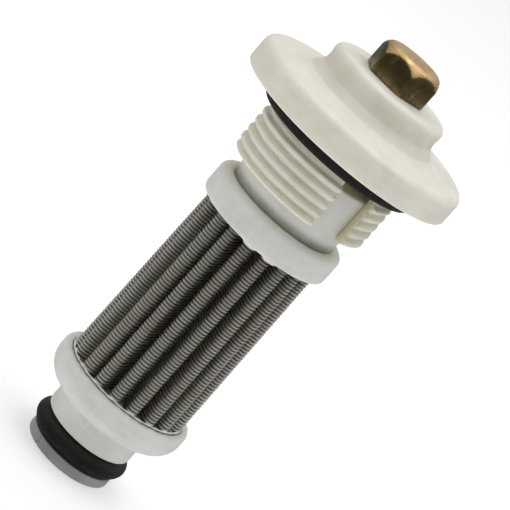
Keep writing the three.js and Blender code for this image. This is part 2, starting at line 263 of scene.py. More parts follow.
def handlingGroup():
    # sparse light specks and soft smudges of handling
    tree, nodes, source, sink = newGroup(
        "handling",
        [("Speck Scale", "value", 900.0), ("Smudge Scale", "value", 120.0)],
        [("Specks", "value"), ("Smudges", "value")],
    )
    place = nodes.objectPlace()
    specks = nodes.noise(place, source["Speck Scale"], 1.0, 0.5)
    tree.links.new(nodes.ramp(specks, 0.0, 1.0, 0.68, 0.76), sink["Specks"])
    smudges = nodes.noise(place, source["Smudge Scale"], 5.0, 0.65, 0.8)
    tree.links.new(nodes.ramp(smudges, 0.0, 1.0, 0.42, 0.68), sink["Smudges"])
    return tree


def drawnMetalGroup():
    # fine lines along Z, as drawn bar or rolled sheet has them, and rings round Z, as turning leaves them
    tree, nodes, source, sink = newGroup(
        "metalLines",
        [("Line Scale", "value", 3000.0), ("Ring Pitch", "value", 0.00018),
         ("Tarnish Scale", "value", 240.0)],
        [("Lines", "value"), ("Rings", "value"), ("Tarnish", "value")],
    )
    place = nodes.objectPlace()
    squeezed = nodes.stretch(place, (1.0, 1.0, 0.03))
    tree.links.new(nodes.noise(squeezed, source["Line Scale"], 2.0, 0.6), sink["Lines"])
    turns = nodes.math("DIVIDE", nodes.radius(place), source["Ring Pitch"])
    wave = nodes.math("SINE", nodes.product(turns, 2 * math.pi))
    tree.links.new(nodes.math("MULTIPLY_ADD", wave, 0.5), sink["Rings"])
    tarnish = nodes.noise(place, source["Tarnish Scale"], 5.0, 0.65, 0.5)
    tree.links.new(nodes.ramp(tarnish, 0.0, 1.0, 0.35, 0.68), sink["Tarnish"])
    return tree


mould = mouldGroup()
edgeWear = wearGroup()
handling = handlingGroup()
metalLines = drawnMetalGroup()


def newMaterial(name):
    material = bpy.data.materials.new(name)
    material.use_nodes = True
    nodes = Nodes(material.node_tree)
    shader = material.node_tree.nodes["Principled BSDF"]
    return material, nodes, shader


def setShader(nodes, shader, values):
    for key, value in values.items():
        connect(nodes.tree, shader.inputs[key], value)


def bump(nodes, height, strength, distance):
    settings = {"Height": height, "Strength": strength, "Distance": distance}
    return nodes.add("ShaderNodeBump", settings).outputs[0]


def nylon(name, look):
    material, nodes, shader = newMaterial(name)
    base = nodes.group(mould, {"Light Color": look["light"], "Deep Color": look["deep"],
                               "Base Roughness": look["roughness"], "Roughness Spread": 0.16})
    marks = nodes.group(handling, {"Speck Scale": 1100.0, "Smudge Scale": 150.0})
    worn = nodes.group(edgeWear, {"Start": 0.53, "End": 0.62})
    specks = nodes.product(marks.outputs["Specks"], 0.25)
    dusted = nodes.mixColor(specks, base.outputs["Color"], look["speck"])
    color = nodes.mixColor(nodes.product(worn.outputs["Mask"], 0.35), dusted, look["edge"])
    place = nodes.objectPlace()
    radius = nodes.radius(place)
    height = nodes.upward(place)
    # painted shade: each entry darkens or tints the colour by radius and height, in recesses where shade
    # falls
    for recessShade in look["paintedShades"]:
        depth = nodes.ramp(radius, 1.0, 0.0, recessShade["fullR"] * mm, recessShade["endR"] * mm)
        band = nodes.ramp(height, 1.0, 0.0, recessShade["fullZ"] * mm, recessShade["endZ"] * mm)
        foot = nodes.ramp(height, 0.0, 1.0, (recessShade["footZ"] - 0.2) * mm, recessShade["footZ"] * mm)
        patches = nodes.ramp(nodes.noise(place, recessShade["patches"], 3.0), 0.7, 1.0, 0.32, 0.6)
        mask = nodes.product(depth, band, foot, patches)
        color = nodes.mixColor(nodes.product(mask, recessShade["strength"]), color, recessShade["color"])
    smudged = nodes.product(marks.outputs["Smudges"], 0.08)
    rough = nodes.math("ADD", base.outputs["Roughness"], smudged)
    setShader(nodes, shader, {
        "Base Color": color,
        "Roughness": rough,
        "IOR": 1.5,
        "Subsurface Weight": look["translucency"],
        "Subsurface Radius": look["scatter"],
        "Subsurface Scale": 1.0,
        "Normal": bump(nodes, base.outputs["Height"], 0.25, 0.00004),
    })
    return material


def rubber(name):
    material, nodes, shader = newMaterial(name)
    base = nodes.group(mould, {"Light Color": rgb(38, 36, 33), "Deep Color": rgb(27, 26, 24),
                               "Grain Scale": 6000.0, "Base Roughness": 0.5, "Roughness Spread": 0.2})
    marks = nodes.group(handling, {"Speck Scale": 1500.0, "Smudge Scale": 260.0})
    dusty = nodes.product(marks.outputs["Specks"], 0.3)
    color = nodes.mixColor(dusty, base.outputs["Color"], rgb(96, 94, 88))
    rough = nodes.math("ADD", base.outputs["Roughness"], nodes.product(marks.outputs["Smudges"], 0.12))
    setShader(nodes, shader, {"Base Color": color, "Roughness": rough, "Specular IOR Level": 0.28,
                              "Normal": bump(nodes, base.outputs["Height"], 0.3, 0.00003)})
    return material


def brassMetal(name):
    # bright where the lathe has faced it, dark with bar skin on the flats
    material, nodes, shader = newMaterial(name)
    lines = nodes.group(metalLines, {})
    grooves = nodes.group(metalLines, {"Ring Pitch": 0.00042})
    marks = nodes.group(handling, {"Speck Scale": 1300.0, "Smudge Scale": 520.0})
    worn = nodes.group(edgeWear, {"Start": 0.51, "End": 0.56, "Break Up": 1200.0})
    tarnish = lines.outputs["Tarnish"]
    facing = nodes.upward(nodes.add("ShaderNodeNewGeometry").outputs["Normal"])
    turned = nodes.ramp(facing, 0.0, 1.0, 0.1, 0.3)
    skin = nodes.mixColor(tarnish, rgb(126, 112, 80), rgb(84, 75, 56))
    bright = nodes.mixColor(nodes.product(tarnish, 0.6), rgb(224, 194, 142), rgb(160, 128, 80))
    bare = nodes.math("MAXIMUM", turned, nodes.product(worn.outputs["Mask"], 0.3))
    color = nodes.mixColor(bare, skin, bright)
    cuts = nodes.ramp(grooves.outputs["Rings"], 0.0, 1.0, 0.55, 0.95)
    toolMarks = nodes.product(cuts, marks.outputs["Smudges"], turned, 0.75)
    color = nodes.mixColor(toolMarks, color, rgb(92, 70, 38))
    rough = nodes.math("ADD", nodes.ramp(tarnish, 0.34, 0.48), nodes.product(lines.outputs["Lines"], 0.06))
    ringed = nodes.product(lines.outputs["Rings"], turned)
    lined = nodes.product(lines.outputs["Lines"], nodes.math("SUBTRACT", 1.0, turned))
    setShader(nodes, shader, {"Base Color": color, "Metallic": 1.0, "Roughness": rough,
                              "Normal": bump(nodes, nodes.math("ADD", ringed, lined), 0.35, 0.00003)})
    return material


def steel(name, look):
    material, nodes, shader = newMaterial(name)
    lines = nodes.group(metalLines, {"Line Scale": look["lines"], "Tarnish Scale": look["patches"]})
    worn = nodes.group(edgeWear, {"Start": 0.52, "End": 0.6, "Break Up": 2500.0})
    color = nodes.mixColor(lines.outputs["Tarnish"], look["light"], look["dark"])
    color = nodes.mixColor(nodes.product(worn.outputs["Mask"], 0.5), color, look["edge"])
    tarnished = nodes.ramp(lines.outputs["Tarnish"], look["roughness"], look["roughness"] + 0.15)
    rough = nodes.math("ADD", tarnished, nodes.product(lines.outputs["Lines"], 0.1))
    setShader(nodes, shader, {"Base Color": color, "Metallic": 1.0, "Roughness": rough,
                              "Normal": bump(nodes, lines.outputs["Lines"], 0.3, 0.00002)})
    return material


def wireCloth(name, look):
    # strands packed side by side, read from the piece's own flattened layout: u along the fold, v up it
    material, nodes, shader = newMaterial(name)
    layout = nodes.add("ShaderNodeTexCoord").outputs["UV"]
    parts = nodes.add("ShaderNodeSeparateXYZ", {0: layout})
    across = nodes.math("SINE", nodes.product(parts.outputs["X"], 2 * math.pi / look["strand"]))
    lean = nodes.product(parts.outputs["Y"], 2 * math.pi / look["rise"])
    along = nodes.math("SINE", nodes.math("ADD", lean, nodes.product(across, 0.6)))
    woven = nodes.math("ADD", across, nodes.product(along, look["cross"]))
    strands = nodes.math("MULTIPLY_ADD", woven, 0.25)
    lines = nodes.group(metalLines, {"Line Scale": 2600.0, "Tarnish Scale": look["patches"]})
    marks = nodes.group(handling, {"Speck Scale": 1600.0, "Smudge Scale": 180.0})
    # painted shade between the strands and painted highlight on their crowns, mixed from the dark and light
    # colours
    color = nodes.mixColor(nodes.ramp(strands, 0.0, 1.0, 0.2, 0.85), look["dark"], look["light"])
    color = nodes.mixColor(nodes.product(lines.outputs["Tarnish"], 0.45), color, look["tarnish"])
    handled = nodes.ramp(marks.outputs["Smudges"], look["roughness"], look["roughness"] + 0.14)
    rough = nodes.math("ADD", handled, nodes.product(lines.outputs["Lines"], 0.08))
    setShader(nodes, shader, {"Base Color": color, "Metallic": look["metallic"], "Roughness": rough,
                              "Normal": bump(nodes, strands, look["relief"], 0.00005)})
    return material


def resin(name, light, deep, grime):
    material, nodes, shader = newMaterial(name)
    base = nodes.group(mould, {"Light Color": light, "Deep Color": deep,
                               "Cloud Scale": 420.0, "Grain Scale": 2600.0,
                               "Base Roughness": 0.2, "Roughness Spread": 0.25})
    marks = nodes.group(handling, {"Speck Scale": 700.0, "Smudge Scale": 300.0})
    grimy = nodes.product(marks.outputs["Smudges"], grime)
    color = nodes.mixColor(grimy, base.outputs["Color"], rgb(70, 68, 62))
    setShader(nodes, shader, {"Base Color": color, "Roughness": base.outputs["Roughness"], "IOR": 1.55,
                              "Coat Weight": 0.4, "Coat Roughness": 0.08,
                              "Normal": bump(nodes, base.outputs["Height"], 0.5, 0.00012)})
    return material


capNylon = nylon("ivoryNylon", {
    "light": rgb(238, 236, 226), "deep": rgb(229, 226, 212),
    "edge": rgb(244, 243, 236), "speck": rgb(214, 208, 188),
    "roughness": 0.4, "translucency": 0.4, "scatter": (0.0024, 0.0019, 0.0011),
    "paintedShades": [  # painted shade: a yellowish tint in the thread roots a little, and much more inside the skirt
        {"color": rgb(212, 209, 172), "strength": 0.15, "patches": 240.0,
         "fullR": 13.9, "endR": 14.9, "fullZ": 80.8, "endZ": 81.3, "footZ": 66.0},
        {"color": rgb(222, 217, 162), "strength": 0.85, "patches": 120.0,
         "fullR": 12.5, "endR": 14.3, "fullZ": 80.8, "endZ": 81.3, "footZ": 66.0}]})
elementNylon = nylon("whiteNylon", {
    "light": rgb(232, 232, 229), "deep": rgb(222, 221, 215),
    "edge": rgb(240, 240, 238), "speck": rgb(208, 205, 196),
    "roughness": 0.44, "translucency": 0.35, "scatter": (0.0018, 0.0016, 0.0012),
    "paintedShades": [  # painted shade in the corner at the foot of the neck
        {"color": rgb(150, 147, 126), "strength": 0.8, "patches": 200.0,
         "fullR": 11.5, "endR": 11.85, "fullZ": 63.9, "endZ": 66.4, "footZ": 62.9}]})
greyNylon = nylon("greyNylon", {
    "light": rgb(168, 168, 167), "deep": rgb(150, 150, 149),
    "edge": rgb(184, 184, 183), "speck": rgb(120, 120, 119),
    "roughness": 0.5, "translucency": 0.05, "scatter": (0.0006, 0.0006, 0.0006), "paintedShades": []})
blackRubber = rubber("blackRubber")
brass = brassMetal("brass")
ribSteel = wireCloth("ribbedMesh", {
    "light": rgb(248, 245, 238), "dark": rgb(174, 170, 162), "tarnish": rgb(194, 187, 170), "strand": 0.14,
    "rise": 0.69, "cross": 0.35, "patches": 160.0, "roughness": 0.27, "relief": 0.5, "metallic": 0.84})
fineCloth = wireCloth("fineCloth", {
    "light": rgb(138, 134, 119), "dark": rgb(90, 88, 75), "tarnish": rgb(110, 105, 88), "strand": 0.1,
    "rise": 0.1, "cross": 1.0, "patches": 200.0, "roughness": 0.5, "relief": 0.5, "metallic": 0.1})
drainSteel = wireCloth("drainMesh", {
    "light": rgb(150, 147, 140), "dark": rgb(82, 79, 73), "tarnish": rgb(112, 106, 94), "strand": 0.5,
    "rise": 0.5, "cross": 1.0, "patches": 160.0, "roughness": 0.4, "relief": 0.8, "metallic": 0.9})
sheetSteel = steel("sheetSteel", {
    "light": rgb(190, 190, 188), "dark": rgb(150, 150, 146), "edge": rgb(214, 214, 212),
    "lines": 3200.0, "patches": 140.0, "roughness": 0.3})
springSteel = steel("springSteel", {
    "light": rgb(116, 117, 120), "dark": rgb(70, 70, 74), "edge": rgb(170, 170, 172),
    "lines": 4200.0, "patches": 260.0, "roughness": 0.32})
pottingResin = resin("pottingResin", rgb(206, 205, 198), rgb(150, 149, 142), 0.5)
beadResin = resin("beadResin", rgb(248, 248, 246), rgb(226, 226, 222), 0.08)
print("materials ready")


capShape = {
    "skirtInner": 11.87, "skirtBottom": 67.4, "lipIn": 0.25, "lipOut": 0.35, "lipUp": 0.25,
    "relief": 14.1, "ceiling": 80.0,
    "threadRoot": 13.95, "threadCrest": 14.92, "pitch": 2.0, "threadStart": 67.7, "threadTop": 77.6,
    "crestHalf": 0.26, "rootHalf": 0.08, "leadIn": 0.9, "leadInShare": 0.35, "leadOut": 1.2, "runOut": 0.6,
    "slotWidth": 8.6, "slotEdge": 0.75,
    "underside": 81.3, "seatR": 18.2, "seatZ": 81.5,
    "rimLow": 0.1, "rimLowRound": 0.45, "rimDraft": 0.12, "rimRound": 1.75, "flangeTop": 87.0,
    # from the flange up to the hub: radius, height above the flange, rounding
    "hubSweep": [(19.6, 0.1, 3.0), (16.9, 0.4, 2.0), (14.0, 1.25, 0.8), (12.6, 3.0, 1.3), (12.42, 4.4, 0.8)],
    "hubR": 12.85, "hubRound": 1.6, "pocketR": 5.85, "pocketDepth": 1.85,
    "insertR": 5.8, "insertFloor": 84.7,
    "stemR": 5.4, "stemBottom": 66.7, "stemRound": 0.7, "stemBore": 2.0,
    "ringGroove": (67.6, 68.5, 4.7), "sealGroove": (71.5, 72.9, 4.3),  # from, to, radius
    "rowsPerPitch": 14, "arcStep": 0.5, "slotColumns": 14,
    # the columns stand closer together towards a slot, to follow its rounded edge
    "edgeSteps": [0.0, 0.03, 0.1, 0.2, 0.32, 0.46, 0.62, 0.85, 1.2],
}


def threadRadius(shape, angle, z):
    turns = (z - shape["threadStart"]) / shape["pitch"] - angle / (2 * math.pi)
    fromCrest = abs(turns - math.floor(turns) - 0.5) * 2
    slope = (fromCrest - shape["crestHalf"]) / (1 - shape["crestHalf"] - shape["rootHalf"])
    ridge = 0.5 + 0.5 * math.cos(math.pi * min(1, max(0, slope)))
    start = max(0, (z - shape["skirtBottom"]) / shape["leadIn"] + shape["leadInShare"])
    end = max(0, (shape["threadTop"] - z) / shape["leadOut"])
    return shape["threadRoot"] + (shape["threadCrest"] - shape["threadRoot"]) * ridge * min(1, start, end)


def capInside(shape):
    # the stem with its two grooves, and the ceiling out to the skirt
    stemR, low, ceiling = shape["stemR"], shape["stemBottom"], shape["ceiling"]
    ringFrom, ringTo, ringR = shape["ringGroove"]
    sealFrom, sealTo, sealR = shape["sealGroove"]
    corners = [(shape["stemBore"], low), (stemR, low, shape["stemRound"]),
               (stemR, ringFrom), (ringR, ringFrom), (ringR, ringTo), (stemR, ringTo, 0.1),
               (stemR, sealFrom, 0.1), (sealR, sealFrom), (sealR, sealTo), (stemR, sealTo, 0.1),
               (stemR, ceiling, 0.6), (shape["skirtInner"], ceiling)]
    outline = roundedOutline(corners)
    return outline[:-1], outline[-1]


def capOutside(shape, rim, top):
    # the relief over the thread, the O-ring's seat, the flange, the hub and the bore for the insert
    underside, seatR, flangeTop = shape["underside"], shape["seatR"], shape["flangeTop"]
    pocketFloor = top - shape["pocketDepth"]
    corners = [(shape["relief"], shape["ceiling"]), (shape["relief"], shape["seatZ"], 0.3),
               (seatR, shape["seatZ"]), (seatR, underside, 0.1),
               (rim - shape["rimLow"], underside, shape["rimLowRound"]),
               (rim - shape["rimDraft"], flangeTop - 0.1, shape["rimRound"])]
    corners += [(r, flangeTop + up, fillet) for r, up, fillet in shape["hubSweep"]]
    corners += [(shape["hubR"], top, shape["hubRound"]), (shape["pocketR"], top, 0.1),
                (shape["pocketR"], pocketFloor), (shape["insertR"], pocketFloor),
                (shape["insertR"], shape["insertFloor"]), (shape["stemBore"], shape["insertFloor"])]
    outline = roundedOutline(corners)
    return outline[0], outline[1:]


def screwCap(shape):
    high = boxMm("screw_cap")[1]
    inside, innerCorner = capInside(shape)
    outerCorner, outside = capOutside(shape, high.x, high.z)
    half = shape["slotWidth"] / 2
    crest, skirtLow, skirtTop = shape["threadCrest"], shape["skirtBottom"], shape["ceiling"]

    def slotHalf(r):  # the slots have parallel sides, so they take a wider angle further in
        return math.asin(half / min(crest, max(shape["skirtInner"], r)))

    # sectors run from wall to wall: right skirt, rear slot, left skirt, front slot
    quarter = math.pi / 2
    sectors = [(-quarter, 1, quarter, -1, True), (quarter, -1, quarter, 1, False),
               (quarter, 1, 3 * quarter, -1, True), (3 * quarter, -1, 3 * quarter, 1, False)]
    arcLength = (math.pi - 2 * slotHalf(crest)) * crest
    edgeSteps = shape["edgeSteps"]
    plainLength = arcLength - 2 * edgeSteps[-1]
    plain = int(plainLength / shape["arcStep"])
    skirtSteps = edgeSteps + [edgeSteps[-1] + plainLength * i / plain for i in range(1, plain)]
    skirtSteps += [arcLength - step for step in reversed(edgeSteps)]

    rows = int((skirtTop - skirtLow) / shape["pitch"] * shape["rowsPerPitch"])
    threadLow = skirtLow + shape["lipUp"]
    heights = [threadLow + (skirtTop - threadLow) * i / rows for i in range(rows)]
    points, columns = [], []

    def addColumn(angleAt, wallGap):
        rounding = shape["slotEdge"]
        cut = 0.0
        if wallGap is not None and wallGap < rounding:
            cut = rounding - math.sqrt(max(0, rounding ** 2 - (rounding - wallGap) ** 2))
        column = {}

        def put(key, r, z, trim=0.0):
            angle = angleAt(r)
            points.append(((r - trim) * math.cos(angle), (r - trim) * math.sin(angle), z))
            column[key] = len(points) - 1

        for i, (r, z) in enumerate(inside):
            put(("inside", i), r, z)
        put("innerCorner", *innerCorner)
        if wallGap is not None:
            for i, z in enumerate(heights):
                put(("inner", i), shape["skirtInner"], z)
            put("innerLip", shape["skirtInner"] + shape["lipIn"], skirtLow)
            put("outerLip", shape["threadRoot"] - shape["lipOut"], skirtLow, cut)
            for i, z in enumerate(heights):
                r = threadRadius(shape, angleAt(crest), z)
                if z > shape["threadTop"]:
                    share = min(1, (z - shape["threadTop"]) / shape["runOut"])
                    r = shape["threadRoot"] + (shape["relief"] - shape["threadRoot"]) * share
                put(("outer", i), r, z, cut)
        put("outerCorner", *outerCorner)
        for i, (r, z) in enumerate(outside):
            put(("outside", i), r, z)
        columns.append(column)

    kinds = []
    slotColumns = shape["slotColumns"]
    for start, startSide, end, endSide, skirted in sectors:
        steps = [i / slotColumns for i in range(slotColumns + 1)]
        if skirted:
            steps = [step / arcLength for step in skirtSteps]
        for i, t in enumerate(steps[:-1]):  # the last column is the next sector's first
            wallGap = min(t, 1 - t) * arcLength if skirted else (0.0 if i == 0 else None)

            def angleAt(r, t=t):
                a = start + startSide * slotHalf(r)
                b = end + endSide * slotHalf(r)
                return a + (b - a) * t
            addColumn(angleAt, wallGap)
            kinds.append(skirted)

    insideKeys = [("inside", i) for i in range(len(inside))] + ["innerCorner"]
    outsideKeys = ["outerCorner"] + [("outside", i) for i in range(len(outside))]
    skirtKeys = [("inner", i) for i in reversed(range(rows))] + ["innerLip", "outerLip"]
    skirtKeys += [("outer", i) for i in range(rows)]
    wallPairs = [("innerLip", "outerLip")] + [(("inner", i), ("outer", i)) for i in range(rows)]
    wallPairs += [("innerCorner", "outerCorner")]
    faces = []
    for c, here in enumerate(columns):
        there = columns[(c + 1) % len(columns)]
        keys = insideKeys + (skirtKeys if kinds[c] else []) + outsideKeys
        for a, b in zip(keys, keys[1:] + keys[:1]):
            faces.append((here[a], there[a], there[b], here[b]))
    for c, column in enumerate(columns):  # the slots' side walls
        if kinds[c] == kinds[c - 1]:
            continue
        for (a, b), (d, e) in zip(wallPairs, wallPairs[1:]):
            wall = (column[a], column[b], column[e], column[d])
            faces.append(wall if kinds[c] else wall[::-1])
    piece = buildObject("screwCap", points, faces, 42)
    return finishPiece(piece, capNylon, "cap", "cap_nylon", "screw_cap")


screwCap(capShape)
print("screw cap ready")


def sealRing(name, node, body, look):
    low, high = boxMm(node)
    cord = (high.z - low.z) / 2 - look["squeeze"]
    ringR = high.x - cord - look["squeeze"]
    z = (high.z + low.z) / 2
    sides = look["sides"]
    flash = look["flash"]  # the mould's parting line, a hair proud, round the outside and the inside

    def section(side):
        angle = 2 * math.pi * side / sides
        r = cord + (flash if side in (0, sides // 2) else 0)
        return ringR + r * math.cos(angle), z + r * math.sin(angle)
    piece = turnedPiece(name, [section(i) for i in range(sides)], look["columns"])
    return finishPiece(piece, blackRubber, body, "black_rubber", node)


ringLook = {"sides": 32, "columns": 192, "flash": 0.025, "squeeze": 0.0}
spigotRingLook = {"sides": 36, "columns": 192, "flash": 0.02, "squeeze": 0.1}  # drawn tight into its groove
smallRingLook = {"sides": 24, "columns": 96, "flash": 0.015, "squeeze": 0.0}
sealRing("flangeSeal", "flange_seal_ring", "cap", ringLook)
sealRing("stemSeal", "stem_seal_ring", "cap", smallRingLook)
sealRing("ventSeal", "vent_seal_ring", "vent_seal", smallRingLook)
sealRing("spigotSeal", "spigot_seal_ring", "cartridge", spigotRingLook)
print("seals ready")


ventScrewShape = {
    "flats": 12.0, "turn": -26.5, "cornerTrim": 0.1, "cornerFrom": 27.5, "edgeRound": 0.16,
    "gap": 0.08,  # of light between the head and the hub
    # how far the head's top has dropped at each radius: flat, rounded edge, chamfer
    "dome": [(0, 0), (4.7, 0), (5.2, 0.14), (5.6, 0.34), (6, 0.7), (6.45, 1.3), (6.93, 2.2), (7.4, 3.2)],
    "rings": (1.2, 2.6, 3.8, 4.5, 4.9, 5.2), "footRound": 0.12, "shankTopR": 4.9,
    "shankRoot": 3.38, "shankCrest": 3.98, "pitch": 1.25, "rowsPerPitch": 12,
    "undercut": 1.2, "runOut": 0.8, "leadIn": 1.0, "tipChamfer": 0.5, "columns": 144,
}


def ventScrew(shape):
    low, high = boxMm("vent_screw")
    headBottom = boxMm("screw_cap")[1].z + shape["gap"]
    inradius = shape["flats"] / 2
    dome = shape["dome"]

    def domeZ(r):
        for (r0, drop0), (r1, drop1) in zip(dome, dome[1:]):
            if r <= r1:
                return high.z - (drop0 + (drop1 - drop0) * (r - r0) / (r1 - r0))
        return high.z - dome[-1][1]

    def hexRadius(angle):
        # a hexagon with its six edges slightly rounded
        local = (angle - math.radians(shape["turn"] - 90)) % (math.pi / 3) - math.pi / 6
        flat = inradius / math.cos(local)
        nearCorner = max(0, math.degrees(abs(local)) - shape["cornerFrom"]) / (30 - shape["cornerFrom"])
        return flat - shape["cornerTrim"] * nearCorner ** 2

    def shankRadius(angle, z):
        turns = z / shape["pitch"] - angle / (2 * math.pi)
        fromCrest = abs(turns - math.floor(turns) - 0.5) * 2
        ridge = min(1, max(0, 1.1 - 1.25 * fromCrest))
        end = max(0, (shankTop - shape["undercut"] - z) / shape["runOut"])
        start = max(0, (z - tip) / shape["leadIn"])
        r = shape["shankRoot"] + (shape["shankCrest"] - shape["shankRoot"]) * ridge * min(1, end, start)
        return r - max(0, shape["tipChamfer"] - (z - tip))

    columns = shape["columns"]
    points, faces = [], []
    shankTop, tip = headBottom, low.z
    shankRows = int((shankTop - tip) / shape["pitch"] * shape["rowsPerPitch"])
    rounding, face = shape["edgeRound"], shape["rings"][-1]
    rows = None
    for c in range(columns):
        angle = 2 * math.pi * c / columns
        reach = hexRadius(angle)
        chamfer = reach - rounding - face
        radii = list(shape["rings"]) + [face + chamfer * t for t in (0.25, 0.5, 0.75, 1.0)]
        profile = [(r, domeZ(r)) for r in radii]
        edgeZ = domeZ(reach)
        profile += [(reach - rounding * 0.3, edgeZ - rounding * 0.15), (reach, edgeZ - rounding)]
        profile += [(reach, edgeZ + (headBottom + 0.3 - edgeZ) * t) for t in (0.35, 0.7)]
        profile += [(reach, headBottom + shape["footRound"]), (reach - shape["footRound"], headBottom)]
        profile.append((shape["shankTopR"], headBottom))
        for i in range(shankRows + 1):
            z = shankTop - (shankTop - tip) * i / shankRows
            profile.append((shankRadius(angle, z), z))
        rows = len(profile)
        points += [(r * math.cos(angle), r * math.sin(angle), z) for r, z in profile]
    points += [(0, 0, high.z), (0, 0, tip)]
    crown, end = len(points) - 2, len(points) - 1
    for c in range(columns):
        here, there = c * rows, ((c + 1) % columns) * rows
        faces.append((crown, here, there))
        for i in range(rows - 1):
            faces.append((here + i, here + i + 1, there + i + 1, there + i))
        faces.append((here + rows - 1, end, there + rows - 1))
    piece = buildObject("ventScrew", points, faces, 30)
    return finishPiece(piece, brass, "vent_screw", "brass", "vent_screw")


ventScrew(ventScrewShape)
print("vent screw ready")


packShape = {
    "pleats": 19, "firstPleat": -42.3, "bottomR": 13.18, "topR": 12.55, "crest": 1.21, "valley": 0.25,
    "valleyCentre": 7.85, "crestSteps": 11, "valleySteps": 5, "flankSteps": 4,
    "angleSpread": 1.0, "crestSpread": 0.06, "widePleat": 17, "wideBy": 0.3,
    "shifts": {0: 0.8, 1: 1.1, 2: 2.0, 3: 2.4, 4: 4.0, 5: 2.0, 16: -3.6, 17: 0.9, 18: 0.4},
    "ribPitch": 0.6805, "wire": 0.235, "wireSides": 7, "ribWander": 0.02, "clothDepth": 0.46,
    "clothThick": 0.1, "drainDepth": 0.6, "drainThick": 0.2, "sheetRows": 12,
}


def pleatCentres(shape):
    # where each fold stands and how wide it is: hand-folded, so no two are quite alike
    chance = random.Random(5)
    step = 360 / shape["pleats"]
    centres = []
    for i in range(shape["pleats"]):
        wander = chance.uniform(-1, 1) * shape["angleSpread"]
        angle = shape["firstPleat"] - 90 + step * i + shape["shifts"].get(i, wander)
        crest = shape["crest"] + chance.uniform(-1, 1) * shape["crestSpread"]
        if i == shape["widePleat"]:
            crest += shape["wideBy"]
        centres.append((math.radians(angle), crest))
    return centres


def pleatPath(shape, centres, depth):
    # points of the folded line in the plane, with its outward normal, at a depth below the outer surface
    outerR = (shape["bottomR"] + shape["topR"]) / 2
    count = len(centres)
    crests, valleys = [], []
    for i, (angle, crest) in enumerate(centres):
        crests.append((Vector((math.cos(angle), math.sin(angle))) * (outerR - crest), crest))
        nextAngle = centres[(i + 1) % count][0] + (2 * math.pi if i == count - 1 else 0)
        middle = (angle + nextAngle) / 2
        valleys.append(Vector((math.cos(middle), math.sin(middle))) * shape["valleyCentre"])

    def flank(crest, crestR, valley, side):
        reach = valley - crest
        spread = math.acos((crestR + shape["valley"]) / reach.length)
        return math.atan2(reach.y, reach.x) - side * spread

    path = []
    for i in range(count):
        centre, crestR = crests[i]
        before = flank(centre, crestR, valleys[i - 1], -1)
        after = flank(centre, crestR, valleys[i], 1)
        while after < before:
            after += 2 * math.pi
        for s in range(shape["crestSteps"] + 1):
            a = before + (after - before) * s / shape["crestSteps"]
            normal = Vector((math.cos(a), math.sin(a)))
            path.append((centre + normal * (crestR - depth), normal))
        normal = Vector((math.cos(after), math.sin(after)))
        fromPoint = centre + normal * (crestR - depth)
        toPoint = valleys[i] - normal * (shape["valley"] + depth)
        for s in range(1, shape["flankSteps"]):
            path.append((fromPoint.lerp(toPoint, s / shape["flankSteps"]), normal))
        nextCentre, nextR = crests[(i + 1) % count]
        nextBefore = flank(nextCentre, nextR, valleys[i], -1)
        while nextBefore > after:
            nextBefore -= 2 * math.pi
        for s in range(shape["valleySteps"] + 1):
            a = after + (nextBefore - after) * s / shape["valleySteps"]
            normal = Vector((math.cos(a), math.sin(a)))
            path.append((valleys[i] - normal * (shape["valley"] + depth), normal))
        normal = Vector((math.cos(nextBefore), math.sin(nextBefore)))
        fromPoint = valleys[i] - normal * (shape["valley"] + depth)
        toPoint = nextCentre + normal * (nextR - depth)
        for s in range(1, shape["flankSteps"]):
            path.append((fromPoint.lerp(toPoint, s / shape["flankSteps"]), normal))
    return path


def pathLengths(path):
    lengths = [0.0]
    for (a, _), (b, _) in zip(path, path[1:] + path[:1]):
        lengths.append(lengths[-1] + (b - a).length)
    return lengths


def packScale(shape, z):
    # the pack narrows a little towards its top
    low, high = boxMm("outer_mesh")
    bottomR, topR = shape["bottomR"], shape["topR"]
    share = (z - low.z) / (high.z - low.z)
    return (bottomR + (topR - bottomR) * share) * 2 / (bottomR + topR)


def setLayout(piece, layout):
    # the flattened cloth, in millimetres: u along the fold, v up it
    uv = piece.data.uv_layers.new(name="layout")
    flat = []
    for corner in layout:
        flat += corner
    uv.data.foreach_set("uv", flat)


def ribs(name, shape, path, lengths, heights):
    sides = shape["wireSides"]
    chance = random.Random(name)
    points, faces, layout = [], [], []
    count = len(path)
    for z in heights:
        base = len(points)
        lift = chance.uniform(-1, 1) * shape["ribWander"]
        phase = chance.uniform(0, 6)
        scale = packScale(shape, z)
        for i, (spot, normal) in enumerate(path):
            wander = lift + shape["ribWander"] * math.sin(phase + lengths[i] * 0.21)
            for s in range(sides):
                a = 2 * math.pi * s / sides
                out = shape["wire"] * math.cos(a)
                x = spot.x * scale + normal.x * out
                y = spot.y * scale + normal.y * out
                points.append((x, y, z + wander + shape["wire"] * math.sin(a)))
        for i in range(count):
            here, there = base + i * sides, base + ((i + 1) % count) * sides
            for s in range(sides):
                t = (s + 1) % sides
                faces.append((here + s, there + s, there + t, here + t))
                u0, u1 = lengths[i], lengths[i + 1]
                v0, v1 = s * 0.2, (s + 1) * 0.2
                layout += [(u0, v0), (u1, v0), (u1, v1), (u0, v1)]
    piece = buildObject(name, points, faces, 80)
    setLayout(piece, layout)
    return piece


